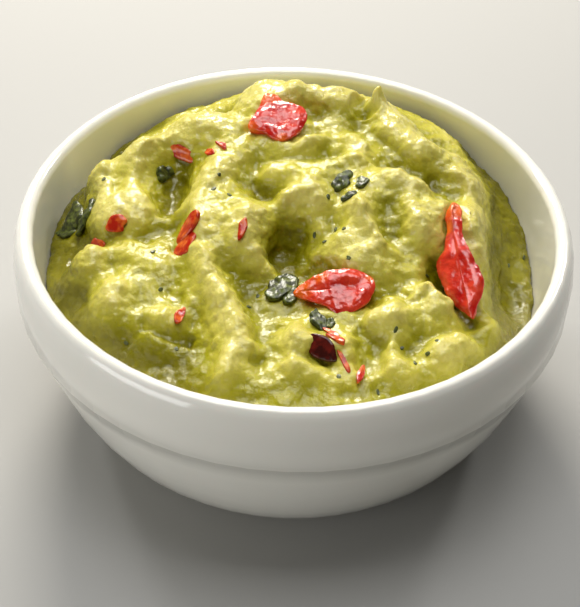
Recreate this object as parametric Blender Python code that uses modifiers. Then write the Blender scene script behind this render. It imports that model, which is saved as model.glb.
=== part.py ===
"""Guacamole heaped in a small white glazed dip bowl, with pieces of red pepper in it.

Metres, +Z up.  The bowl stands on z = 0 with its axis on the Z axis.  The heap leans to the
back (+Y): it is highest there, slopes down to the front (-Y), and leaves a deep free pocket
along the wall on the right (+X).
"""
import math

import bmesh
import bpy
import numpy as np
from mathutils import Matrix, Vector

MM = 0.001
GAP = 0.3 * MM                  # between the faces of two neighbours

# Bowl, turned about Z
RIM_RADIUS = 50.0 * MM          # outside of the upright band under the lip
HEIGHT = 40.0 * MM
BAND_HEIGHT = 12.0 * MM         # upright band between the lip and the stacking line
STACKING_STEP = 0.4 * MM
WALL = 3.9 * MM
LIP_RADIUS = 47.7 * MM          # where the lip is highest
LIP_OUTER_FALL = 7.0 * MM       # height of the long outer rounding of the lip
LIP_INNER_FALL = 1.6 * MM
FOOT_RADIUS = 31.5 * MM         # outer edge of the flat ring that the bowl stands on
FOOT_RING = 6.0 * MM
FOOT_RECESS = 1.0 * MM
WALL_LOW = (45.1 * MM, 13.9 * MM)   # radius and height where the curved foot becomes the wall
FLOOR_HEIGHT = 4.5 * MM
FLOOR_RADIUS = 27.0 * MM        # flat part of the inside
BOWL_STEPS = 56

# Heap
GRID_CELLS = 36                 # cells along each side of the grid that becomes the heap's top
SKIRT_RINGS = 5
MOUTH = 45.5                    # mm, radius of the heap where it meets the wall
LEVEL = 31.0                    # mm, height of the surface under the mounds
BANK_SLOPE = 1.7                # how steeply the heap may rise from the wall
FALL = 5.0                      # mm that a swell drops at its own radius
MELT = 1.3                      # mm over which two shapes of the heap run together

# Height (mm) at which the heap meets the wall, by direction (degrees from +X to +Y)
SHORE = {0: 25.0, 30: 31.5, 60: 33.0, 90: 33.5, 130: 31.5, 155: 29.5, 190: 28.5, 220: 29.0,
         250: 31.0, 280: 31.5, 305: 31.0, 325: 28.0, 345: 24.0}

# Broad mounds under everything else: x, y, height above the level, reach in x and in y (mm)
MOUNDS = [
    (3, 20, 13.0, 30, 26),
    (4, -30, 5.0, 24, 20),
]

# Rounded swells: x, y, top, radius along, radius across (mm), turn (degrees)
SWELLS = [
    (-5, 27, 48.6, 8, 8, 0),            # peak at the back
    (7, 26, 47.2, 8, 7, 0),             # second top at the back
    (-15, 19, 45.4, 12, 7, -25),        # shoulder left of the peak
    (-26, 14, 42.4, 8, 8, 0),
    (-33, 10, 39.6, 5, 7, 20),          # left corner above the wall
    (-28, 3, 40.0, 6, 12, 10),          # left lobe
    (-32, 2, 39.2, 5, 8, 0),
    (-34.5, -10.5, 37.4, 5, 5.5, 0),    # lobe below it, with a steep edge above the wall
    (-28, -19, 37.8, 7.5, 8, 0),
    (-21, -24, 37.6, 8, 6, 0),
    (-22, -9, 38.6, 10, 8, -20),
    (-14, 10, 43.6, 8, 9, 0),
    (0, 17, 47.4, 9, 7, 0),             # plateau behind the middle
    (10, 13, 46.6, 8, 6, 0),
    (17, 4, 45.4, 9, 6, -35),
    (2, -1, 45.6, 7, 8, 0),             # middle lump, three heads side by side
    (11, -2, 46.0, 8, 8, 0),
    (21, -3, 45.0, 9, 7, -20),
    (12, -9, 41.8, 10, 6, 0),
    (-10, -5, 43.8, 6, 9, 20),          # tongue left of the middle lump
    (0, -29, 38.8, 7, 7, 0),            # front lumps
    (-2, -35, 37.8, 9, 5, 0),
    (9, -29, 38.4, 6, 6, 0),
    (7, -21, 39.4, 8, 4.5, 0),
    (17, -24, 40.2, 7, 6, 0),
    (24, -19, 40.2, 6, 6, 0),
    (25, -31, 38.4, 8, 6, 30),
    (16, -34, 37.6, 8, 5, 0),
    (32, -22, 36.6, 5, 5, 0),
    (33, -9, 39.4, 5, 8, 0),            # bank right of the long pepper strip
    (30, 0, 42.0, 6, 8, 0),
]

# Ridges along a path: points (x, y, top), then the half width at which one has dropped by FALL
RIDGES = [
    ([(-17, -5, 42.4), (-13, -20, 40.2), (-9, -28, 39.0), (-9.5, -38, 37.2)], 5.0),
    ([(14, 26, 47.8), (18, 20.5, 47.0), (22, 15, 46.0), (27, 14, 44.4), (31, 9, 42.4)], 5.5),
    ([(-12, 9, 44.2), (-17, 1, 42.6), (-17, -5, 42.2)], 6.0),
    ([(29, -1, 43.0), (29.5, -12, 40.6), (30.5, -22, 36.6)], 4.0),
]

# Hollows pressed into the rest: x, y, bottom, radius along, radius across (mm), turn (degrees)
HOLLOWS = [
    (-22, 9, 38.0, 6, 8, 0),            # left of the ridge that leads to the tongue
    (3, 9.5, 43.4, 8, 3, 0),            # behind the middle lump
    (-6, 8, 41.6, 5, 5, 0),
    (-1, -8, 35.6, 7, 5, 15),           # dark valley under the middle lump
    (-10, -14, 37.6, 4, 3, 0),
    (5, -32, 36.0, 3, 2, 0),
    (25, -11.5, 36.6, 4, 3, 0),
    (-39, -2.5, 34.4, 6, 2.5, 0),       # notch between the two left lobes
    (-15.5, -25, 34.6, 3, 6, 0),        # left of the long ridge
]

# Troughs along a path: points (x, y, bottom), then the half width at which one has risen by FALL
TROUGHS = [
    ([(13, 19, 43.4), (17, 14, 42.8), (21, 9.5, 42.6)], 3.5),
    ([(36, 27, 32.0), (40, 18, 31.0), (41.5, 8, 28.0), (41, -6, 25.5), (39, -14, 28.0)], 5.0),
    ([(-42, 15, 30.5), (-43, 3, 29.5), (-43.5, -6, 29.0), (-41, -17, 29.0)], 3.0),
    ([(-41, -17, 29.0), (-33, -30, 29.5), (-18, -40, 31.0)], 3.4),
]

# Red pepper pieces: a curved slice of flesh with its skin side up
PEPPER_THICKNESS = 2.6 * MM
PEPPER_BEVEL = 0.5 * MM
PEPPER_CAMBER = 0.25            # how far the middle of a slice bulges, as a share of its half width
BED_OPENING = 15 * MM           # height of a bed's cutter above the bottom of its piece
BED_MARGIN = 0.6 * MM           # room between a piece's outline and its bed
# name: spine points (x, y, z of the skin) and half widths at those points (mm), and a roll
# about the spine (degrees)
PEPPERS = {
    "pepper_top": {
        "spine": [(-7.5, 14.5, 46.8), (-3.5, 16.5, 47.6), (0.5, 18.0, 47.8), (4.0, 18.5, 47.0)],
        "half_widths": [1.6, 4.2, 3.8, 2.0],
        "roll": 12,
    },
    "pepper_strip": {
        "spine": [(27.6, 0.5, 44.0), (28.0, -5.0, 43.2), (28.6, -12.0, 41.4), (29.4, -18.5, 38.8),
                  (30.2, -24.0, 36.2)],
        "half_widths": [1.0, 1.8, 3.0, 2.6, 0.9],
        "roll": 18,
    },
    "pepper_front": {
        "spine": [(1.0, -20.5, 38.6), (5.0, -20.6, 39.6), (9.5, -20.6, 39.8), (13.5, -19.6, 39.0)],
        "half_widths": [1.4, 3.2, 3.6, 1.8],
        "roll": -14,
    },
}


def clear_scene():
    for obj in list(bpy.data.objects):
        bpy.data.objects.remove(obj, do_unlink=True)


def new_collection(name):
    collection = bpy.data.collections.new(name)
    bpy.context.scene.collection.children.link(collection)
    return collection


def material(name, colour, roughness, subsurface=0.0):
    mat = bpy.data.materials.new(name)
    mat.use_nodes = True
    shader = mat.node_tree.nodes["Principled BSDF"]
    shader.inputs["Base Color"].default_value = (*colour, 1.0)
    shader.inputs["Roughness"].default_value = roughness
    shader.inputs["Metallic"].default_value = 0.0
    shader.inputs["Subsurface Weight"].default_value = subsurface
    mat.diffuse_color = (*colour, 1.0)
    return mat


def mesh_object(name, bm, mat, collection):
    mesh = bpy.data.meshes.new(name)
    bm.to_mesh(mesh)
    bm.free()
    if mat:
        mesh.materials.append(mat)
    obj = bpy.data.objects.new(name, mesh)
    collection.objects.link(obj)
    return obj


def bezier(p0, p1, p2, p3, count):
    """Points along a cubic curve, without its first one."""
    points = []
    for i in range(1, count + 1):
        t = i / count
        s = 1 - t
        points.append(tuple(
            s**3 * a + 3 * s * s * t * b + 3 * s * t * t * c + t**3 * d
            for a, b, c, d in zip(p0, p1, p2, p3)))
    return points


def ellipse_arc(centre, along, up, start, end, count):
    """Points (radius, height) on an ellipse from start to end degrees."""
    points = []
    for i in range(count + 1):
        angle = math.radians(start + (end - start) * i / count)
        points.append((centre[0] + along * math.cos(angle), centre[1] + up * math.sin(angle)))
    return points


def inner_profile():
    """(radius, height) from the edge of the flat floor up to the start of the lip."""
    top_radius = RIM_RADIUS - WALL
    low = (WALL_LOW[0] - WALL * 0.98, WALL_LOW[1] + 1.2 * MM)
    floor_edge = (FLOOR_RADIUS, FLOOR_HEIGHT)
    corner = bezier(floor_edge, (36.0 * MM, FLOOR_HEIGHT), (38.9 * MM, 8.6 * MM), low, 7)
    wall_top = (top_radius, HEIGHT - LIP_INNER_FALL)
    wall = bezier(low, (43.6 * MM, 22.0 * MM), (top_radius - 0.1 * MM, 27.5 * MM), wall_top, 4)
    return [floor_edge] + corner + wall


def bowl_profile():
    """(radius, height) from the middle of the inside, over the lip, to the middle of the base."""
    band_foot = HEIGHT - BAND_HEIGHT
    points = [(0.0, FLOOR_HEIGHT)] + inner_profile()[:-1]
    inner_lip = ellipse_arc((LIP_RADIUS, HEIGHT - LIP_INNER_FALL),
                            LIP_RADIUS - (RIM_RADIUS - WALL), LIP_INNER_FALL, 180, 90, 3)
    outer_lip = ellipse_arc((LIP_RADIUS, HEIGHT - LIP_OUTER_FALL),
                            RIM_RADIUS - LIP_RADIUS, LIP_OUTER_FALL, 90, 0, 6)
    points += inner_lip + outer_lip[1:]
    points += [(RIM_RADIUS, band_foot + STACKING_STEP),
               (RIM_RADIUS - STACKING_STEP, band_foot)]
    step = points[-1]
    points += bezier(step, (48.4 * MM, 23.5 * MM), (46.6 * MM, 18.2 * MM), WALL_LOW, 3)
    points += bezier(WALL_LOW, (41.2 * MM, 4.6 * MM), (38.5 * MM, 0.0), (FOOT_RADIUS, 0.0), 6)
    ring_inside = FOOT_RADIUS - FOOT_RING
    points += [(ring_inside, 0.0), (ring_inside - FOOT_RECESS, FOOT_RECESS), (0.0, FOOT_RECESS)]
    return points


def make_bowl(collection):
    bm = bmesh.new()
    verts = [bm.verts.new((radius, 0.0, height)) for radius, height in bowl_profile()]
    for a, b in zip(verts, verts[1:]):
        bm.edges.new((a, b))
    glaze = material("white_glazed_porcelain", (0.86, 0.85, 0.78), 0.12)
    bowl = mesh_object("bowl", bm, glaze, collection)
    screw = bowl.modifiers.new("turn", "SCREW")
    screw.axis = "Z"
    screw.angle = 2 * math.pi
    screw.steps = BOWL_STEPS
    screw.render_steps = BOWL_STEPS
    screw.use_merge_vertices = True
    screw.merge_threshold = 0.00001
    screw.use_smooth_shade = True
    return bowl


def smooth_max(a, b, melt=MELT):
    mix = np.clip(0.5 + 0.5 * (a - b) / melt, 0.0, 1.0)
    return b + (a - b) * mix + melt * mix * (1.0 - mix)


def smooth_min(a, b, melt=MELT):
    return -smooth_max(-a, -b, melt)


def spread(x, y, feature):
    """Squared distance from a swell or a hollow, in its own radii."""
    cx, cy, _, along, across, turn = feature
    c, s = math.cos(math.radians(turn)), math.sin(math.radians(turn))
    u = ((x - cx) * c + (y - cy) * s) / along
    v = (-(x - cx) * s + (y - cy) * c) / across
    return u * u + v * v


def along_path(x, y, points):
    """Distance to a path and the path's own height at the nearest point."""
    nearest = np.full_like(x, 1e9)
    height = np.zeros_like(x)
    for (ax, ay, az), (bx, by, bz) in zip(points, points[1:]):
        dx, dy = bx - ax, by - ay
        t = np.clip(((x - ax) * dx + (y - ay) * dy) / (dx * dx + dy * dy), 0.0, 1.0)
        distance = np.hypot(x - ax - t * dx, y - ay - t * dy)
        closer = distance < nearest
        nearest = np.where(closer, distance, nearest)
        height = np.where(closer, az + t * (bz - az), height)
    return nearest, height


def heap_height(x, y):
    """Height (mm) of the heap's surface over the points x, y (mm)."""
    radius = np.hypot(x, y)
    direction = np.degrees(np.arctan2(y, x))
    shore = np.interp(direction, list(SHORE), list(SHORE.values()), period=360)
    z = LEVEL + (shore - LEVEL) * (radius / MOUTH) ** 3
    for cx, cy, rise, reach_x, reach_y in MOUNDS:
        z += rise * np.exp(-((x - cx) / reach_x) ** 2 - ((y - cy) / reach_y) ** 2)
    for swell in SWELLS:
        z = smooth_max(z, swell[2] - FALL * spread(x, y, swell))
    for points, half_width in RIDGES:
        distance, top = along_path(x, y, points)
        z = smooth_max(z, top - FALL * (distance / half_width) ** 1.5)
    for hollow in HOLLOWS:
        z = smooth_min(z, hollow[2] + FALL * spread(x, y, hollow))
    for points, half_width in TROUGHS:
        distance, bottom = along_path(x, y, points)
        z = smooth_min(z, bottom + FALL * (distance / half_width) ** 2)
    return smooth_min(z, shore + BANK_SLOPE * (MOUTH - radius))


def round_the_square(u, v):
    """Concentric map of the square -1..1 on the unit disc."""
    if u == 0 and v == 0:
        return 0.0, 0.0
    if abs(u) > abs(v):
        radius, angle = u, math.pi / 4 * v / u
    else:
        radius, angle = v, math.pi / 2 - math.pi / 4 * u / v
    return radius * math.cos(angle), radius * math.sin(angle)


def contact_profile():
    """Inner profile of the bowl moved in by the gap, as heights and radii that rise."""
    points = inner_profile()
    moved = []
    for i, (radius, height) in enumerate(points):
        before = points[max(i - 1, 0)]
        after = points[min(i + 1, len(points) - 1)]
        along = Vector((after[0] - before[0], after[1] - before[1])).normalized()
        moved.append((radius - along.y * GAP, height + along.x * GAP))
    return moved


def make_heap(collection):
    profile = contact_profile()
    radii = np.array([p[0] for p in profile])
    heights = np.array([p[1] for p in profile])
    lengths = np.concatenate(([0.0], np.cumsum(np.hypot(np.diff(radii), np.diff(heights)))))

    bm = bmesh.new()
    bmesh.ops.create_grid(bm, x_segments=GRID_CELLS, y_segments=GRID_CELLS, size=1.0)
    edge = {v for v in bm.verts if v.is_boundary}
    for v in bm.verts:
        u, w = round_the_square(v.co.x, v.co.y)
        v.co.x, v.co.y = u * MOUTH, w * MOUTH
    xs = np.array([v.co.x for v in bm.verts])
    ys = np.array([v.co.y for v in bm.verts])
    for v, z in zip(bm.verts, heap_height(xs, ys)):
        v.co = Vector((v.co.x, v.co.y, z)) * MM
    for v in edge:                                  # the shore lies on the wall
        radius = float(np.interp(v.co.z, heights, radii))
        v.co.xy = v.co.xy.normalized() * radius

    rim = [e for e in bm.edges if e.is_boundary]
    for ring in range(1, SKIRT_RINGS + 1):          # the skirt follows the wall down to the floor
        made = bmesh.ops.extrude_edge_only(bm, edges=rim)["geom"]
        rim = [g for g in made if isinstance(g, bmesh.types.BMEdge) and g.is_boundary]
        share = 1.0 - 1.0 / (SKIRT_RINGS + 1 - ring)
        for v in {v for e in rim for v in e.verts}:
            length = float(np.interp(v.co.z, heights, lengths)) * share
            v.co.xy = v.co.xy.normalized() * float(np.interp(length, lengths, radii))
            v.co.z = float(np.interp(length, lengths, heights))
    bmesh.ops.contextual_create(bm, geom=rim)
    bmesh.ops.recalc_face_normals(bm, faces=bm.faces)
    dip = material("mashed_avocado", (0.50, 0.53, 0.10), 0.35, 0.2)
    heap = mesh_object("guacamole", bm, dip, collection)
    heap.data.shade_smooth()
    return heap


def smooth_path(points, count):
    """Points spaced along a Catmull-Rom curve through the given vectors."""
    padded = [points[0] * 2 - points[1]] + points + [points[-1] * 2 - points[-2]]
    result = []
    for i in range(count + 1):
        place = i / count * (len(points) - 1)
        k = min(int(place), len(points) - 2)
        t = place - k
        a, b, c, d = padded[k:k + 4]
        result.append(0.5 * (2 * b + (c - a) * t + (2 * a - 5 * b + 4 * c - d) * t * t
                             + (3 * b - a - 3 * c + d) * t**3))
    return result


def pepper_sheet(spec, grow=0.0, lift=0.0):
    """Skin side of a piece: a grid bent along the spine, narrow at both ends.

    It can be grown all round in its own surface and lifted along its normal.
    """
    lengthwise, across = 8, 4
    bm = bmesh.new()
    bmesh.ops.create_grid(bm, x_segments=lengthwise, y_segments=across, size=1.0)
    spine = smooth_path([Vector(p) * MM for p in spec["spine"]], lengthwise)
    spine[0] += (spine[0] - spine[1]).normalized() * grow
    spine[-1] += (spine[-1] - spine[-2]).normalized() * grow
    widths = smooth_path([Vector((w, 0, 0)) * MM for w in spec["half_widths"]], lengthwise)
    for v in bm.verts:
        k = round((v.co.x + 1) / 2 * lengthwise)
        before, after = spine[max(k - 1, 0)], spine[min(k + 1, lengthwise)]
        forward = (after - before).normalized()
        side = Vector((0, 0, 1)).cross(forward).normalized()
        side = Matrix.Rotation(math.radians(spec["roll"]), 3, forward) @ side
        up = forward.cross(side)
        camber = (1 - v.co.y ** 2) * widths[k].x * PEPPER_CAMBER
        v.co = spine[k] + side * (v.co.y * (widths[k].x + grow)) + up * (camber + lift)
    bm.normal_update()
    if sum(f.normal.z for f in bm.faces) < 0:
        bmesh.ops.reverse_faces(bm, faces=bm.faces)
    return bm


def pepper_bed(spec):
    """Cutter for the bed that a piece lies in: it is open above the piece."""
    bm = pepper_sheet(spec, BED_MARGIN, -(PEPPER_THICKNESS + GAP))
    bm.normal_update()
    way_out = sum((f.normal for f in bm.faces), Vector()).normalized()
    lid = bmesh.ops.extrude_face_region(bm, geom=bm.faces[:])["geom"]
    lid = [v for v in lid if isinstance(v, bmesh.types.BMVert)]
    bmesh.ops.translate(bm, verts=lid, vec=way_out * BED_OPENING)
    bmesh.ops.recalc_face_normals(bm, faces=bm.faces)
    return bm


def give_flesh(piece):
    flesh = piece.modifiers.new("flesh", "SOLIDIFY")
    flesh.thickness = PEPPER_THICKNESS
    flesh.offset = -1.0
    edges = piece.modifiers.new("edges", "BEVEL")
    edges.width = PEPPER_BEVEL
    edges.segments = 1
    edges.limit_method = "ANGLE"
    edges.angle_limit = math.radians(50)


def make_peppers(collection, cutters, heap):
    skin = material("red_pepper", (0.62, 0.05, 0.02), 0.15)
    for name, spec in PEPPERS.items():
        piece = mesh_object(name, pepper_sheet(spec), skin, collection)
        piece.data.shade_smooth()
        give_flesh(piece)
        cutter = mesh_object(name + "_bed", pepper_bed(spec), None, cutters)
        cutter.hide_render = True
        cutter.display_type = "WIRE"
        cut = heap.modifiers.new(name, "BOOLEAN")
        cut.operation = "DIFFERENCE"
        cut.solver = "EXACT"
        cut.object = cutter


def main():
    clear_scene()
    parts = new_collection("guacamole_in_bowl")
    cutters = new_collection("cutters")
    make_bowl(parts)
    heap = make_heap(parts)
    make_peppers(parts, cutters, heap)


main()
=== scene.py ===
"""Guacamole heaped in a small white glazed dip bowl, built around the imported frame."""
import math
import bmesh
import bpy
import numpy as np
from mathutils import Matrix, Vector


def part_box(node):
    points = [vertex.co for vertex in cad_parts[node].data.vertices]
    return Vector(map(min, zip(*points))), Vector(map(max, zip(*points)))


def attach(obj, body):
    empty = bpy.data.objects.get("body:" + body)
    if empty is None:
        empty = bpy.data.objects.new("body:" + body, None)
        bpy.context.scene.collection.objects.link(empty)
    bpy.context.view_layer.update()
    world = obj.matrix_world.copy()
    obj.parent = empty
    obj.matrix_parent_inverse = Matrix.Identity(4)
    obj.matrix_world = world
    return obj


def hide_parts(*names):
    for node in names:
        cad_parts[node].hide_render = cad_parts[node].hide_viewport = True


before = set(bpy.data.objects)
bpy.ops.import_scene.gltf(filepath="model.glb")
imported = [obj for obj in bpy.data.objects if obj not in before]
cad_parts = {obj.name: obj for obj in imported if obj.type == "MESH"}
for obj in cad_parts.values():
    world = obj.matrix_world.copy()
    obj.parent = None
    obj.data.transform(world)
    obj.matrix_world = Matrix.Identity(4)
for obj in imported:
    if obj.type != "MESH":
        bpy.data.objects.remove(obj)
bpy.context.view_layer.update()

MM = 0.001
BOWL_LOW, BOWL_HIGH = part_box("bowl")
RIM_HEIGHT = BOWL_HIGH.z


# ---------------------------------------------------------------- camera, light and floor

CAMERA_ELEVATION = math.radians(42.1)
CAMERA_DISTANCE = 241 * MM
CAMERA_ROLL = math.radians(2.24)
CAMERA_LENS = 76.0
CAMERA_SHIFT = (-0.0035, -0.0127)


def set_camera():
    data = bpy.data.cameras.new("camera")
    data.sensor_width = 36.0
    data.lens = CAMERA_LENS
    data.shift_x, data.shift_y = CAMERA_SHIFT
    data.clip_start = 0.01
    camera = bpy.data.objects.new("camera", data)
    bpy.context.scene.collection.objects.link(camera)
    back = Vector((0, -math.cos(CAMERA_ELEVATION), math.sin(CAMERA_ELEVATION)))
    camera.location = Vector((0, 0, RIM_HEIGHT / 2)) + back * CAMERA_DISTANCE
    turn = back.to_track_quat("Z", "Y").to_matrix() @ Matrix.Rotation(CAMERA_ROLL, 3, "Z")
    camera.rotation_euler = turn.to_euler()
    bpy.context.scene.camera = camera


def add_softbox(name, place, size, power, colour):
    data = bpy.data.lights.new(name, "AREA")
    data.shape = "RECTANGLE"
    data.size = size[0]
    data.size_y = size[1]
    data.energy = power
    data.color = linear(colour)
    light = bpy.data.objects.new(name, data)
    bpy.context.scene.collection.objects.link(light)
    light.location = place
    aim = Vector(place) - Vector((0, 0, RIM_HEIGHT))
    light.rotation_euler = aim.to_track_quat("Z", "Y").to_euler()


def set_light():
    add_softbox("key_behind", (-0.10, 0.50, 0.40), (0.22, 0.18), 4.3, "#FFF9EE")
    add_softbox("soft_top", (0.0, 0.06, 0.55), (0.34, 0.34), 1.7, "#FFFFFF")
    add_softbox("glint_left", (-0.36, 0.38, 0.38), (0.08, 0.08), 0.6, "#FFFFFF")
    add_softbox("glint_right", (0.34, 0.40, 0.40), (0.08, 0.08), 0.6, "#FFFFFF")
    add_softbox("fill_left", (-0.45, -0.35, 0.12), (0.4, 0.2), 1.1, "#FFFFFF")
    world = bpy.data.worlds.new("studio")
    bpy.context.scene.world = world
    world.use_nodes = True
    world.node_tree.nodes["Background"].inputs["Color"].default_value = (*linear("#F4F4F2"), 1)
    world.node_tree.nodes["Background"].inputs["Strength"].default_value = 0.05
    bpy.context.scene.view_settings.view_transform = "Standard"


def linear(code):
    """An sRGB hex colour as linear red, green and blue."""
    parts = [int(code[i:i + 2], 16) / 255 for i in (1, 3, 5)]
    return tuple(c / 12.92 if c <= 0.04045 else ((c + 0.055) / 1.055) ** 2.4 for c in parts)


# ---------------------------------------------------------------- modelling helpers

def deselect_all():
    if bpy.context.object and bpy.context.object.mode != "OBJECT":
        bpy.ops.object.mode_set(mode="OBJECT")
    bpy.ops.object.select_all(action="DESELECT")


def pick(*objects):
    """Select these objects only, the first of them active."""
    deselect_all()
    for obj in objects:
        obj.select_set(True)
    bpy.context.view_layer.objects.active = objects[0]
    return objects[0]


def apply_modifier(obj, kind, **settings):
    pick(obj)
    modifier = obj.modifiers.new(kind.lower(), kind)
    for key, value in settings.items():
        setattr(modifier, key, value)
    bpy.ops.object.modifier_apply(modifier=modifier.name)


def settle(obj):
    """Bring an object's place, turn and size into its mesh."""
    pick(obj)
    bpy.ops.object.transform_apply(location=True, rotation=True, scale=True)


def finish_piece(obj, material, slot, *nodes):
    obj.data.materials.clear()
    obj.data.materials.append(material)
    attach(obj, "root")
    if nodes:
        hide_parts(*nodes)


# ---------------------------------------------------------------- material helpers

def new_material(name):
    material = bpy.data.materials.new(name)
    material.use_nodes = True
    return material, material.node_tree.nodes["Principled BSDF"]


def add_node(material, kind, settings=None, inputs=None, links=None):
    """A node with its settings, the values of its inputs, and links to them."""
    node = material.node_tree.nodes.new(kind)
    for key, value in (settings or {}).items():
        setattr(node, key, value)
    for key, value in (inputs or {}).items():
        node.inputs[key].default_value = value
    for key, source in (links or {}).items():
        material.node_tree.links.new(source, node.inputs[key])
    return node


def per_mm(size):
    """Scale of a texture on Object coordinates whose features are size mm across."""
    return 1.0 / (size * MM)


# ---------------------------------------------------------------- bowl

def porcelain():
    """Hard porcelain, slip cast and dipped in a clear glaze: white, very smooth, warm in depth."""
    material, shader = new_material("glazed_porcelain")
    place = add_node(material, "ShaderNodeTexCoord").outputs["Object"]
    cloud = add_node(material, "ShaderNodeTexNoise", inputs={"Scale": per_mm(18), "Detail": 2.0},
                     links={"Vector": place})
    tint = add_node(material, "ShaderNodeMix", {"data_type": "RGBA"}, links={"Factor": cloud.outputs["Fac"]})
    tint.inputs[6].default_value = (*linear("#F1EFE4"), 1)
    tint.inputs[7].default_value = (*linear("#F5F3EA"), 1)
    material.node_tree.links.new(tint.outputs[2], shader.inputs["Base Color"])
    shader.inputs["Roughness"].default_value = 0.16
    shader.inputs["IOR"].default_value = 1.52
    shader.inputs["Coat Weight"].default_value = 0.3
    shader.inputs["Coat Roughness"].default_value = 0.05
    shader.inputs["Subsurface Weight"].default_value = 0.08
    shader.inputs["Subsurface Radius"].default_value = (0.004, 0.003, 0.0025)
    shader.inputs["Subsurface Scale"].default_value = 0.5
    return material


def make_bowl():
    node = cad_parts["bowl"]
    bowl = node.copy()
    bowl.data = node.data.copy()
    bowl.name = "bowl_glazed"
    bowl.parent = None
    bpy.context.scene.collection.objects.link(bowl)
    pick(bowl)
    bpy.ops.object.mode_set(mode="EDIT")
    bpy.ops.mesh.select_all(action="SELECT")
    bpy.ops.mesh.remove_doubles(threshold=0.00001)
    bpy.ops.mesh.tris_convert_to_quads()
    bpy.ops.object.mode_set(mode="OBJECT")
    bpy.ops.object.shade_smooth()
    finish_piece(bowl, porcelain(), "glazed_porcelain", "bowl")
    return bowl


# ---------------------------------------------------------------- guacamole

COARSE = 0.8 * MM               # cell size while the broad strokes are made
FINE = 0.48 * MM
SIGHT_HEIGHT = 24 * MM          # strokes take hold of the heap above this
HIDDEN_HEIGHT = 23 * MM         # below this the heap is out of sight and needs few faces
GRIP = 0.7                      # mm, how close to a path the surface is held
PRESSED_OUT = (1.012, 1.012, 1.0)   # the heap is pressed against the wall, with no gap

# Painted shade, all in mm: where the heap lies deep below what stands round it, or low in the bowl, its colour
# is painted darker and greener
GRID_REACH = 60                 # half the side of the grid of heights, in cells of 1 mm
WALL_RADIUS = 47
WALL_SHADE_HEIGHT = 46
SHADE_REACH = 6.0
SHADE_CELLS = 12                # how far the spread of heights is worked out
SHADE_FROM = -1.6
SHADE_FULL = 3.4
# painted shade by height: the colour starts to darken below the first height and is darkest below the second
LOW_SHADE_FROM = 38.5
LOW_SHADE_FULL = 33.0

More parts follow.
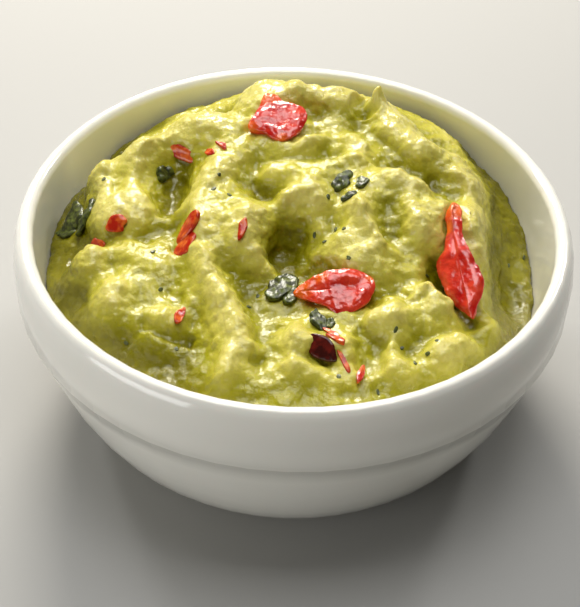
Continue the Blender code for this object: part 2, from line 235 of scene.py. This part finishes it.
# A stroke pushes or pulls the heap's surface along a path, as the back of a spoon does: points
# (x, y in mm), shift (x, y, z in mm), reach in mm, and how the pull falls off with distance.
BROAD_STROKES = [
    # the crown at the back
    ([(-9, 12.5), (-4, 12.5), (2, 12.5)], (0, 0, 1.2), 4.2, "SMOOTH"),
    ([(-0.1, 27.4)], (0, 0, 2.8), 4.6, "SMOOTH"),
    ([(5, 27), (9, 26.5)], (0, 0, 1.6), 3.6, "SPHERE"),
    ([(12.2, 24.6)], (0, 0, -2.4), 2.6, "SPHERE"),
    ([(-9, 22), (-16, 21), (-23, 19), (-29, 17), (-34, 14.5), (-36.5, 14)], (0, 0, 1.0), 3.4, "SPHERE"),
    ([(-14, 29), (-22, 27), (-30, 23), (-37, 19)], (0, 0, -3.0), 5.0, "SMOOTH"),
    ([(14, 18), (18, 13), (22.5, 8.5), (26, 7)], (0, 0, 1.9), 4.2, "SMOOTH"),
    ([(13.2, 16.8), (16.6, 13), (20, 10)], (0, 0, -1.2), 1.9, "SPHERE"),
    ([(23.6, 8.6), (28.6, 7.0)], (0, 0, -1.0), 1.8, "SPHERE"),
    ([(7, 21), (9.9, 14.9), (10.6, 10), (15.7, 6.2), (22.4, 3)], (0, 0, 1.0), 2.8, "SMOOTH"),
    # the lobe above left, and the deep hollow beside it
    ([(-27.4, 13.2), (-28, 8), (-28.4, 3.2), (-31, -2)], (0, 0, 1.2), 4.4, "SPHERE"),
    ([(-37.2, 12.2)], (0, 0, 1.8), 3.0, "SPHERE"),
    ([(-36.1, 7), (-36, 2)], (0, 0, 1.4), 3.2, "SPHERE"),
    ([(-24, 12.5), (-24, 7.6), (-22.5, 4)], (0, 0, -2.4), 4.4, "SPHERE"),
    ([(-9, 17), (-13, 11), (-15.5, 6)], (0, 0, 1.2), 3.4, "SPHERE"),
    # the groove across to the lobe below left
    ([(-38, -5), (-33.5, -4.5), (-28, -5), (-21, -4)], (0, 0, -1.0), 2.4, "SMOOTH"),
    ([(-31, -8), (-27, -13), (-22, -17)], (0, 0, 1.8), 5.2, "SMOOTH"),
    ([(-36.5, -9), (-35.5, -12), (-33, -16), (-31.2, -20), (-30.6, -24)], (0, 0, 1.2), 2.8, "SPHERE"),
    ([(-25.5, -16), (-25, -22)], (0, 0, -0.7), 2.6, "SMOOTH"),
    ([(-23, -28.5), (-18.5, -30)], (0, 0, 1.0), 2.6, "SMOOTH"),
    # the tongue and the long ridge that runs forward from it
    ([(-11.5, 1.5), (-8, 0), (-6.8, -3), (-6.6, -6), (-7.8, -9.5)], (0.8, 0, 1.5), 3.2, "SPHERE"),
    ([(-15.5, 0), (-15.5, -6)], (0, 0, 1.0), 3.4, "SPHERE"),
    ([(-20, -4), (-19.5, -8)], (0, 0, -1.4), 2.8, "SPHERE"),
    ([(-4, 7.6), (1, 7.4), (6, 7.2), (10, 7.4)], (0, 0, 2.9), 4.4, "SMOOTH"),
    ([(4, 12.4), (9.5, 12.2)], (0, 0, -1.2), 3.0, "SMOOTH"),
    ([(-3.4, -2), (-3.4, -7)], (0, 0, -0.6), 2.6, "SMOOTH"),
    ([(-16.2, -12), (-14.5, -15.8)], (0, 0, 0.9), 2.2, "SMOOTH"),
    ([(-11.9, -20), (-9.1, -23.6), (-7.8, -28), (-7, -31.2), (-9.1, -33.5), (-10.2, -37)],
     (0, 0, 1.4), 2.8, "SMOOTH"),
    ([(-5.4, -31.4)], (0, 0, 1.0), 2.2, "SMOOTH"),
    ([(-3, -28), (-3.4, -35)], (0, 0, -1.4), 2.8, "SPHERE"),
    # the big lump in the middle, hanging over a dark valley
    ([(7, -3), (12, -5), (18, -5)], (0, 0, -1.2), 6.0, "SMOOTH"),
    ([(12.5, -13.5), (17, -15.5), (21, -14)], (0, 0, 2.0), 4.6, "SPHERE"),
    ([(-1.5, 0)], (0, 0, 0.8), 4.0, "SMOOTH"),
    ([(-3, -9), (1.6, -11), (6.7, -14.5)], (0, 0, -0.9), 3.0, "SPHERE"),
    ([(5, -7.5), (9, -11), (14, -15.5), (18, -17), (22, -14.5)], (0, -1.6, 0.6), 3.4, "SPHERE"),
    ([(-4.5, 5.4), (2, 5), (11, 3.6), (17, 3.6), (22.4, 2), (25.4, -1)], (0, 0, 1.0), 3.0, "SMOOTH"),
    ([(2.4, 3), (3.8, -1.2), (4, -5)], (0, 0, 1.2), 2.6, "SMOOTH"),
    ([(7.4, -1), (7.8, -6)], (0, 0, -0.9), 2.6, "SMOOTH"),
    ([(15, -2.5), (16.4, -7.5)], (0, 0, -0.9), 2.8, "SMOOTH"),
    ([(10.6, -3.4), (12.2, -6.5), (14.2, -9)], (0, 0, 1.2), 2.2, "SMOOTH"),
    ([(19.2, -0.5), (20.3, -3.6), (21.4, -8)], (0, 0, 1.2), 2.4, "SMOOTH"),
    ([(25, -12.5), (26, -16)], (0, 0, -2.6), 3.0, "SPHERE"),
    # right of it
    ([(26, 1.5), (29.2, -0.8), (30.8, -4.6), (32.7, -7), (34, -9)], (0, 0, 1.2), 2.6, "SMOOTH"),
    ([(38, -3), (38.5, -10)], (0, 0, -1.6), 3.0, "SMOOTH"),
    ([(15, -24.5), (17.5, -22)], (0, 0, 1.2), 3.4, "SPHERE"),
    ([(22, -20.5), (22.6, -23.5)], (0, 0, 1.0), 3.0, "SPHERE"),
    ([(19.8, -20), (20, -26)], (0, 0, -1.2), 2.0, "SPHERE"),
    ([(16.6, -29), (16.9, -32.6), (18.2, -35.6)], (0, 0, 1.0), 2.2, "SMOOTH"),
    ([(25.5, -26), (25, -30)], (0, 0, 0.9), 2.8, "SPHERE"),
    ([(29, -27.5), (31.5, -25.5)], (0, 0, 1.2), 2.6, "SPHERE"),
    ([(12.5, -28), (13, -33)], (0, 0, -1.2), 2.6, "SPHERE"),
    # the front
    ([(-5, -12.8), (-1, -15.6), (1.4, -18.6)], (0, 0, 1.4), 2.4, "SMOOTH"),
    ([(-2.8, -19)], (0, 0, 0.9), 3.0, "SPHERE"),
    ([(1, -30.2), (4.4, -30), (8.4, -31.6), (9.6, -35)], (0, 0, 1.1), 2.2, "SMOOTH"),
    ([(3.6, -32.2), (6.4, -32.8)], (0, 0, -0.9), 1.4, "SMOOTH"),
    ([(0.8, -34.8), (5.5, -36.8), (10.2, -36.8)], (0, 0, 1.0), 2.2, "SMOOTH"),
]
FINE_STROKES = [
    ([(14.1, 25.6)], (0, 0.4, 3.4), 2.4, "SHARP"),
    ([(14.1, 25.4), (15, 22.2), (17.5, 18.3), (19.5, 16.1), (22.9, 12.6), (27.2, 10), (31, 6.8)],
     (0, 0, 0.6), 3.0, "SMOOTH"),
    ([(10.6, -3.4), (12.2, -6.5), (14.2, -9)], (0, 0, 0.8), 1.4, "SHARP"),
    ([(-24, -25.6), (-20, -27.6), (-16.5, -28)], (0, 0, -0.9), 1.5, "SHARP"),
]


def stroke(heap, path, shift, reach, falloff):
    """Move the surface over a path, and what lies within reach of it, in edit mode."""
    heap.update_from_editmode()
    flat = np.empty(len(heap.data.vertices) * 3, np.float32)
    heap.data.vertices.foreach_get("co", flat)
    places = flat.reshape(-1, 3) / MM
    near = np.full(len(places), np.inf)
    for (ax, ay), (bx, by) in list(zip(path, path[1:])) or [(path[0], path[0])]:
        dx, dy = bx - ax, by - ay
        t = np.clip(((places[:, 0] - ax) * dx + (places[:, 1] - ay) * dy) / (dx * dx + dy * dy or 1.0), 0, 1)
        near = np.minimum(near, np.hypot(places[:, 0] - ax - t * dx, places[:, 1] - ay - t * dy))
    near[places[:, 2] < SIGHT_HEIGHT / MM] = np.inf
    grip = max(GRIP, float(near.min()) + 0.01)
    bpy.ops.mesh.select_all(action="DESELECT")
    mesh = bmesh.from_edit_mesh(heap.data)
    mesh.verts.ensure_lookup_table()
    for i in np.flatnonzero(near <= grip):
        mesh.verts[i].select = True
    bmesh.update_edit_mesh(heap.data, loop_triangles=False, destructive=False)
    bpy.ops.transform.translate(
        value=[s * MM for s in shift], use_proportional_edit=True,
        proportional_edit_falloff=falloff, proportional_size=reach * MM,
        use_proportional_connected=False, use_proportional_projected=False)


def work_strokes(heap, strokes):
    pick(heap)
    bpy.ops.object.mode_set(mode="EDIT")
    for values in strokes:
        stroke(heap, *values)
    bpy.ops.object.mode_set(mode="OBJECT")


def roughen(heap, size, depth, seed):
    """Push the surface in and out by a cloud pattern of this grain (mm), to break its smoothness."""
    cloud = bpy.data.textures.new("cloud_%d" % seed, "CLOUDS")
    cloud.noise_scale = size * MM
    cloud.noise_depth = 2
    apply_modifier(heap, "DISPLACE", texture=cloud, strength=depth * MM, mid_level=0.5,
                   texture_coords="GLOBAL", direction="NORMAL")


def thin_out_underside(heap):
    """Few faces are enough where the heap lies hidden in the bowl."""
    group = heap.vertex_groups.new(name="hidden")
    group.add([v.index for v in heap.data.vertices if v.co.z < HIDDEN_HEIGHT], 1.0, "REPLACE")
    apply_modifier(heap, "DECIMATE", ratio=0.60, vertex_group="hidden")
    heap.vertex_groups.clear()


def paint_hollow_shade(heap):
    """Mark on each point, from 0 to 1, how much painted shade its colour gets: how deep it lies below what
    stands round it, the wall included, or how low it lies.
    """
    flat = np.empty(len(heap.data.vertices) * 3, np.float32)
    heap.data.vertices.foreach_get("co", flat)
    places = flat.reshape(-1, 3) / MM
    cells = np.arange(-GRID_REACH, GRID_REACH + 1)
    away = np.hypot(*np.meshgrid(cells, cells, indexing="ij"))
    ground = np.where(away > WALL_RADIUS, WALL_SHADE_HEIGHT, 0.0)
    spot = tuple(np.rint(places[:, :2]).astype(int).T + GRID_REACH)
    np.maximum.at(ground, spot, places[:, 2])
    spread = np.exp(-(np.arange(-SHADE_CELLS, SHADE_CELLS + 1) / SHADE_REACH) ** 2)
    spread /= spread.sum()
    for axis in (0, 1):
        ground = np.apply_along_axis(lambda line: np.convolve(line, spread, "same"), axis, ground)
    depth = (ground[spot] - places[:, 2] - SHADE_FROM) / (SHADE_FULL - SHADE_FROM)
    low_shade = (LOW_SHADE_FROM - places[:, 2]) / (LOW_SHADE_FROM - LOW_SHADE_FULL)
    # painted shade: this mark darkens the colour of the mash where it lies deep or low
    mark = heap.data.attributes.new("painted_shade", "FLOAT", "POINT")
    mark.data.foreach_set("value", np.clip(np.maximum(depth, low_shade), 0, 1).astype(np.float32))


def make_heap():
    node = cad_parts["guacamole"]
    heap = node.copy()
    heap.data = node.data.copy()
    heap.name = "guacamole_heap"
    heap.parent = None
    bpy.context.scene.collection.objects.link(heap)
    pick(heap)
    bpy.ops.object.mode_set(mode="EDIT")
    bpy.ops.mesh.select_all(action="SELECT")
    bpy.ops.mesh.remove_doubles(threshold=0.00001)
    bpy.ops.object.mode_set(mode="OBJECT")
    apply_modifier(heap, "REMESH", mode="VOXEL", voxel_size=COARSE, adaptivity=0.0)
    apply_modifier(heap, "SMOOTH", factor=0.5, iterations=3)
    work_strokes(heap, BROAD_STROKES)
    roughen(heap, 7.0, 1.0, 1)
    roughen(heap, 4.2, 0.8, 4)

    apply_modifier(heap, "REMESH", mode="VOXEL", voxel_size=FINE, adaptivity=0.0)
    work_strokes(heap, FINE_STROKES)
    roughen(heap, 2.4, 0.75, 2)
    roughen(heap, 1.2, 0.45, 3)
    apply_modifier(heap, "SMOOTH", factor=0.5, iterations=1)
    thin_out_underside(heap)
    pick(heap)
    bpy.ops.object.mode_set(mode="EDIT")
    bpy.ops.mesh.select_all(action="SELECT")
    bpy.ops.transform.resize(value=PRESSED_OUT, center_override=(0, 0, BOWL_LOW.z))
    bpy.ops.object.mode_set(mode="OBJECT")
    bpy.ops.object.shade_smooth()
    # paint shade into the colour of the deep and low places
    paint_hollow_shade(heap)
    finish_piece(heap, mashed_avocado(), "guacamole", "guacamole")
    return heap


def mashed_avocado():
    """Ripe avocado mashed with a fork: wet and fatty, so light sinks in, with a curdled grain that glints;
    its colour is painted pale and creamy where it stands up and darker olive where it lies deep, as painted
    shade."""
    material, shader = new_material("mashed_avocado")
    place = add_node(material, "ShaderNodeTexCoord").outputs["Object"]
    # the mark of painted shade worked out on the heap
    painted_shade = add_node(material, "ShaderNodeAttribute", {"attribute_name": "painted_shade"}).outputs["Fac"]
    patches = add_node(material, "ShaderNodeTexNoise", inputs={"Scale": per_mm(6), "Detail": 5.0},
                       links={"Vector": place})
    drift = add_node(material, "ShaderNodeMapRange", links={"Value": patches.outputs["Fac"]},
                     inputs={"From Min": 0.3, "From Max": 0.7, "To Min": -0.16, "To Max": 0.16})
    depth = add_node(material, "ShaderNodeMath", {"operation": "ADD"})
    material.node_tree.links.new(painted_shade, depth.inputs[0])
    material.node_tree.links.new(drift.outputs["Result"], depth.inputs[1])
    # Painted shade: the colour runs from pale cream to dark olive where the heap lies deep or low; the patches
    # noise shifts it at random
    ramp = add_node(material, "ShaderNodeValToRGB", links={"Fac": depth.outputs["Value"]})
    tones = ramp.color_ramp.elements
    tones[0].position = 0.0
    tones[0].color = (*linear("#D6CB6C"), 1)
    tones[1].position = 1.0
    tones[1].color = (*linear("#787200"), 1)
    for position, code in ((0.3, "#C9C04E"), (0.62, "#A29C1C")):
        tones.new(position).color = (*linear(code), 1)
    material.node_tree.links.new(ramp.outputs["Color"], shader.inputs["Base Color"])
    curds = add_node(material, "ShaderNodeTexVoronoi", {"feature": "SMOOTH_F1"},
                     inputs={"Scale": per_mm(1.5)}, links={"Vector": place})
    bump = add_node(material, "ShaderNodeBump", {"invert": True}, {"Strength": 0.6, "Distance": 0.35 * MM},
                    {"Height": curds.outputs["Distance"]})
    grain = add_node(material, "ShaderNodeTexNoise", inputs={"Scale": per_mm(0.7), "Detail": 3.0},
                     links={"Vector": place})
    fine = add_node(material, "ShaderNodeBump", inputs={"Strength": 1.0, "Distance": 0.16 * MM},
                    links={"Height": grain.outputs["Fac"], "Normal": bump.outputs["Normal"]})
    material.node_tree.links.new(fine.outputs["Normal"], shader.inputs["Normal"])
    wetness = add_node(material, "ShaderNodeMapRange", links={"Value": patches.outputs["Fac"]},
                       inputs={"From Min": 0.35, "From Max": 0.65, "To Min": 0.18, "To Max": 0.32})
    material.node_tree.links.new(wetness.outputs["Result"], shader.inputs["Roughness"])
    shader.inputs["Subsurface Weight"].default_value = 0.30
    shader.inputs["Subsurface Radius"].default_value = (1.0, 0.8, 0.15)
    shader.inputs["Subsurface Scale"].default_value = 1.4 * MM
    return material


# ---------------------------------------------------------------- red pepper

# Outlines of the three large pieces (x, y, z in mm), seen from above in order round the edge,
# and the places where orange flesh shows: x, y, z, reach (mm)
PEPPER_TOP = [
    (-9.6, 16.2, 46.4), (-8.1, 19.3, 47.4), (-7.2, 21.6, 48.2), (-6.4, 23.8, 48.9), (-4.2, 23.9, 49.0),
    (-2.9, 22.0, 48.6), (-1.1, 21.7, 48.5), (0.7, 20.8, 48.2), (1.4, 19.0, 47.7), (0.9, 16.5, 47.0),
    (-0.7, 14.5, 46.4), (-2.7, 13.3, 46.0), (-4.7, 14.1, 46.1), (-6.2, 15.5, 46.4)]
PEPPER_TOP_FLESH = [(-6.2, 23.4, 48.8, 3.2), (-9.4, 16.2, 46.4, 2.6), (-3.0, 13.8, 46.0, 1.6)]
PEPPER_STRIP = [
    (27.3, -1.6, 44.7), (28.8, -2.6, 44.5), (29.0, -5.5, 44.0), (28.9, -8.0, 43.2), (29.9, -11.4, 42.6),
    (31.4, -14.3, 41.4), (32.1, -17.8, 40.0), (31.2, -19.8, 38.8), (30.0, -22.8, 37.2), (28.6, -21.0, 37.0),
    (27.2, -19.5, 37.0), (26.1, -17.0, 37.4), (24.7, -13.9, 38.2), (24.3, -11.6, 39.2), (25.8, -9.6, 40.8),
    (26.3, -6.8, 42.0), (26.0, -3.8, 43.6)]
PEPPER_STRIP_FLESH = [(27.6, -2.0, 44.6, 4.4), (26.6, -6.0, 42.6, 2.0)]
PEPPER_FRONT = [
    (0.2, -19.6, 38.2), (1.8, -18.1, 39.2), (3.5, -17.1, 40.0), (5.2, -16.4, 40.6), (7.2, -16.0, 41.0),
    (9.4, -15.9, 41.0), (11.5, -16.2, 40.7), (13.3, -17.1, 40.2), (13.6, -19.0, 39.6), (12.7, -21.3, 38.8),
    (11.0, -22.7, 38.1), (8.9, -23.8, 37.4), (7.2, -23.6, 37.4), (5.9, -22.2, 38.0), (4.2, -21.6, 38.2),
    (2.2, -20.8, 38.1)]
PEPPER_FRONT_FLESH = [(1.2, -19.0, 38.8, 3.0), (4.4, -17.0, 40.2, 2.2), (13.0, -17.2, 40.2, 1.4)]
SLICE_THICKNESS = 2.2 * MM
RIND = 0.8 * MM                 # width of the rounded rim of a slice
SPREAD = (1.06, 1.06, 1.0)      # rounding the edge draws it in, so the outline starts wider
SLICE_DOME = 0.30 * MM          # how far each ring of a slice stands above the one outside it


def tint_flesh(piece, spots):
    """Mark on each point of a piece how much orange flesh shows there, from 0 to 1."""
    mark = piece.data.attributes.new("flesh", "FLOAT", "POINT")
    for vert, value in zip(piece.data.vertices, mark.data):
        value.value = max([0.0] + [1 - (vert.co / MM - Vector(spot[:3])).length / spot[3] for spot in spots])


def lay_slice(name, outline, flesh, material, seed, node=None, dome=SLICE_DOME, thickness=SLICE_THICKNESS):
    """A slice with this outline, domed, thickened downwards and wrinkled."""
    deselect_all()
    bpy.ops.mesh.primitive_circle_add(vertices=len(outline), radius=MM, fill_type="NOTHING")
    piece = bpy.context.object
    piece.name = name
    bpy.ops.object.mode_set(mode="EDIT")
    for i, place in enumerate(outline):
        bpy.ops.mesh.select_all(action="DESELECT")
        mesh = bmesh.from_edit_mesh(piece.data)
        mesh.verts.ensure_lookup_table()
        mesh.verts[i].select = True
        move = Vector(place) * MM - mesh.verts[i].co
        bmesh.update_edit_mesh(piece.data)
        bpy.ops.transform.translate(value=move)
    bpy.ops.mesh.select_all(action="SELECT")
    bpy.ops.mesh.edge_face_add()
    mesh = bmesh.from_edit_mesh(piece.data)
    mesh.faces.ensure_lookup_table()
    if mesh.faces[0].normal.z < 0:
        bpy.ops.mesh.flip_normals()
    middle = sum((Vector(place) for place in outline), Vector()) / len(outline)
    bpy.ops.transform.resize(value=SPREAD, center_override=middle * MM)
    bpy.ops.mesh.inset(thickness=RIND, depth=dome)
    bpy.ops.mesh.inset(thickness=RIND, depth=dome * 0.5)
    bpy.ops.mesh.poke()
    bpy.ops.object.mode_set(mode="OBJECT")
    apply_modifier(piece, "SOLIDIFY", thickness=thickness, offset=-1.0)
    apply_modifier(piece, "SUBSURF", levels=1, render_levels=1, subdivision_type="SIMPLE")
    apply_modifier(piece, "SUBSURF", levels=2, render_levels=2)
    roughen(piece, 3.0, 0.8, seed)
    roughen(piece, 1.1, 0.22, seed + 1)
    tint_flesh(piece, flesh)
    bpy.ops.object.shade_smooth()
    finish_piece(piece, material, "red_pepper", *([node] if node else []))
    return piece


def red_pepper():
    """Sweet red pepper, chopped raw: taut shiny deep red skin over wet orange-red flesh."""
    material, shader = new_material("red_pepper")
    place = add_node(material, "ShaderNodeTexCoord").outputs["Object"]
    mottle = add_node(material, "ShaderNodeTexNoise", inputs={"Scale": per_mm(3.0), "Detail": 4.0},
                      links={"Vector": place})
    skin = add_node(material, "ShaderNodeValToRGB", links={"Fac": mottle.outputs["Fac"]})
    skin.color_ramp.elements[0].position = 0.36
    skin.color_ramp.elements[0].color = (*linear("#B8160C"), 1)
    skin.color_ramp.elements[1].position = 0.66
    skin.color_ramp.elements[1].color = (*linear("#E5482E"), 1)
    flesh = add_node(material, "ShaderNodeAttribute", {"attribute_name": "flesh"})
    part = add_node(material, "ShaderNodeMapRange", links={"Value": flesh.outputs["Fac"]},
                    inputs={"From Min": 0.1, "From Max": 0.7})
    blend = add_node(material, "ShaderNodeMix", {"data_type": "RGBA"}, links={"Factor": part.outputs["Result"]})
    material.node_tree.links.new(skin.outputs["Color"], blend.inputs[6])
    blend.inputs[7].default_value = (*linear("#EC6A18"), 1)
    material.node_tree.links.new(blend.outputs[2], shader.inputs["Base Color"])
    pores = add_node(material, "ShaderNodeTexNoise", inputs={"Scale": per_mm(0.9), "Detail": 3.0},
                     links={"Vector": place})
    bump = add_node(material, "ShaderNodeBump", inputs={"Strength": 1.0, "Distance": 0.20 * MM},
                    links={"Height": pores.outputs["Fac"]})
    material.node_tree.links.new(bump.outputs["Normal"], shader.inputs["Normal"])
    shader.inputs["Roughness"].default_value = 0.14
    shader.inputs["IOR"].default_value = 1.5
    shader.inputs["Coat Weight"].default_value = 0.6
    shader.inputs["Coat Roughness"].default_value = 0.08
    shader.inputs["Subsurface Weight"].default_value = 0.25
    shader.inputs["Subsurface Radius"].default_value = (1.0, 0.25, 0.08)
    shader.inputs["Subsurface Scale"].default_value = 1.2 * MM
    return material


# ---------------------------------------------------------------- small bits

# Small bits pressed into the heap: x, y (mm), length, width (mm), turn (degrees), how far it stands out (mm)
PEPPER_BITS = [
    (-22.0, 16.2, 5.2, 2.3, -4, 0.5), (-15.9, 12.2, 2.6, 1.1, 50, 0.4), (-14.0, 13.3, 2.6, 1.0, 12, 0.4),
    (-31.4, -3.0, 3.2, 2.4, 10, 0.9), (-34.6, -4.4, 2.8, 2.0, 30, 0.5), (-18.4, -6.6, 4.6, 2.6, -75, 0.5),
    (-18.4, -9.6, 4.0, 3.0, -60, 0.5), (-9.0, -9.0, 3.2, 1.5, 80, 0.3), (-18.4, -24.5, 3.0, 1.3, -8, 0.4),
    (6.5, -27.6, 3.4, 0.9, -80, 0.3), (7.1, -30.4, 3.4, 0.9, -75, 0.3), (8.6, -34.0, 3.4, 0.9, -58, 0.3),
    (11.2, -36.2, 3.0, 0.9, -12, 0.3)]
# Painted shade: a dark maroon piece laid where a small hole at the front of the heap lies in shade
HOLE_SHADE_BITS = [(5.4, -32.0, 4.6, 2.6, -16, 0.3)]
LEAVES = [
    (-40.6, 6.6, 6.4, 4.6, -25, 0.6), (-38.0, 3.2, 6.0, 3.6, -50, 0.6), (-41.8, 3.8, 4.0, 2.6, 70, 0.5),
    (-2.0, -17.0, 4.6, 3.4, -25, 0.5), (-0.4, -18.6, 3.2, 2.2, 20, 0.4), (8.2, 3.4, 3.6, 3.0, -60, 0.5),
    (11.4, 2.4, 3.0, 2.0, 10, 0.3), (9.4, -0.6, 2.6, 1.4, -70, 0.3), (4.8, -25.0, 3.8, 1.9, -46, 0.5),
    (-24.6, 11.8, 3.0, 2.6, 0, 0.2), (6.6, -25.6, 1.6, 1.2, 0, 0.3)]
FLECKS = [
    (-11.7, 0.2), (-24.2, -10.5), (-14.6, 1.8), (3.5, -6.4), (7.0, -5.8), (8.4, -7.5), (9.2, -13.8),
    (5.2, -8.6), (22.9, -13.3), (18.0, -30.0), (22.1, -31.9), (17.0, -27.8), (14.1, -38.6), (7.9, -36.9),
    (-22.3, -17.8), (-27.1, -27.8), (-18.6, -29.9), (-7.1, -20.9), (-5.8, -18.0), (39.7, 1.8), (43.0, 4.9),
    (23.5, -30.1), (20.1, -33.2), (-13.8, 4.7), (-35.3, 8.6), (5.6, -0.7)]
BIT_THICKNESS = 0.9             # mm
BIT_RIM = 0.2                   # width of a bit's rounded rim, of its width
BIT_CROWN = 0.08                # how far a bit is domed, of its width
BIT_RAGGED = 0.24               # mm, how uneven the outline of a bit is before it is stretched
CRUMPLE_SIZE = 1.6              # mm
BIT_SPREAD = 1.5                # rounding draws a bit in, so it starts wider
DROP_HEIGHT = 60                # mm, where a bit is let fall from


def land(heap, x, y):
    """Where a bit let fall at this place lands on the heap, and which way the surface faces there."""
    hits = [heap.ray_cast(Vector((x + dx, y + dy, DROP_HEIGHT)) * MM, (0, 0, -1))
            for dx, dy in ((0, 0), (1, 0), (-1, 0), (0, 1), (0, -1))]
    facing = sum((hit[2] for hit in hits if hit[0]), Vector())
    return hits[0][1], facing.normalized()


def press_in(heap, name, bits, material, slot, crumple, seed, sides=9):
    """Small bits made one by one, laid on the heap, pressed in and joined as one piece."""
    pieces = []
    for x, y, length, width, turn, proud in bits:
        spot, facing = land(heap, x, y)
        deselect_all()
        bpy.ops.mesh.primitive_circle_add(vertices=sides, radius=0.5 * MM, fill_type="NGON")
        bit = bpy.context.object
        bpy.ops.object.mode_set(mode="EDIT")
        bpy.ops.transform.vertex_random(offset=BIT_RAGGED * MM, uniform=0.3, normal=0.0,
                                        seed=seed + len(pieces))
        bpy.ops.transform.resize(value=(length * BIT_SPREAD, width * BIT_SPREAD, 1))
        bpy.ops.mesh.inset(thickness=width * BIT_RIM * MM, depth=width * BIT_CROWN * MM)
        bpy.ops.mesh.poke()
        bpy.ops.object.mode_set(mode="OBJECT")
        apply_modifier(bit, "SOLIDIFY", thickness=BIT_THICKNESS * MM, offset=-1.0)
        bit.rotation_euler = (facing.to_track_quat("Z", "Y").to_matrix()
                              @ Matrix.Rotation(math.radians(turn), 3, "Z")).to_euler()
        bit.location = spot + facing * proud * MM
        settle(bit)
        apply_modifier(bit, "SUBSURF", levels=2, render_levels=2)
        pieces.append(bit)
    pick(*pieces)
    if len(pieces) > 1:
        bpy.ops.object.join()
    piece = bpy.context.object
    piece.name = name
    roughen(piece, CRUMPLE_SIZE, crumple, seed)
    bpy.ops.object.shade_smooth()
    finish_piece(piece, material, slot)
    return piece


def plain_bit(name, dark, light, grain, roughness):
    """A wet bit of plant flesh in two tones, with a fine vein-like bump of this grain (mm)."""
    material, shader = new_material(name)
    place = add_node(material, "ShaderNodeTexCoord").outputs["Object"]
    mottle = add_node(material, "ShaderNodeTexNoise", inputs={"Scale": per_mm(grain), "Detail": 3.0},
                      links={"Vector": place})
    ramp = add_node(material, "ShaderNodeValToRGB", links={"Fac": mottle.outputs["Fac"]})
    for tone, position, code in zip(ramp.color_ramp.elements, (0.42, 0.68), (dark, light)):
        tone.position = position
        tone.color = (*linear(code), 1)
    material.node_tree.links.new(ramp.outputs["Color"], shader.inputs["Base Color"])
    bump = add_node(material, "ShaderNodeBump", inputs={"Strength": 0.8, "Distance": 0.12 * MM},
                    links={"Height": mottle.outputs["Fac"]})
    material.node_tree.links.new(bump.outputs["Normal"], shader.inputs["Normal"])
    shader.inputs["Roughness"].default_value = roughness
    return material


# ---------------------------------------------------------------- floor

def make_floor():
    bpy.ops.mesh.primitive_plane_add(size=3.0, location=(0, 0, BOWL_LOW.z))
    floor = bpy.context.object
    floor.name = "floor"
    material, shader = new_material("pale_studio_paper")
    shader.inputs["Base Color"].default_value = (*linear("#B4B3AF"), 1)
    shader.inputs["Roughness"].default_value = 0.8
    floor.data.materials.append(material)


set_camera()
set_light()
make_floor()
make_bowl()
heap = make_heap()
pepper = red_pepper()
lay_slice("pepper_slice_top", PEPPER_TOP, PEPPER_TOP_FLESH, pepper, 11, "pepper_top")
lay_slice("pepper_slice_strip", PEPPER_STRIP, PEPPER_STRIP_FLESH, pepper, 13, "pepper_strip", dome=0.7 * MM)
lay_slice("pepper_slice_front", PEPPER_FRONT, PEPPER_FRONT_FLESH, pepper, 15, "pepper_front")
press_in(heap, "pepper_bits", PEPPER_BITS, plain_bit("chopped_red_pepper", "#B4230F", "#E8702A", 1.4, 0.2),
         "red_pepper", 0.3, 21)
# painted shade of the small hole at the front of the heap
press_in(heap, "pepper_hole_painted_shade_bit", HOLE_SHADE_BITS, plain_bit("pepper_hole_painted_shade", "#3A0E08", "#6E1C12", 1.4, 0.2),
         "red_pepper", 0.3, 22)
press_in(heap, "coriander_leaves", LEAVES, plain_bit("coriander_leaf", "#2A300E", "#68722E", 0.9, 0.3),
         "guacamole", 1.3, 23)
press_in(heap, "coriander_flecks", [(x, y, 0.9, 0.6, 37 * i, 0.1) for i, (x, y) in enumerate(FLECKS)],
         plain_bit("coriander_fleck", "#3C441C", "#5E6630", 0.9, 0.35), "guacamole", 0.1, 24, sides=6)
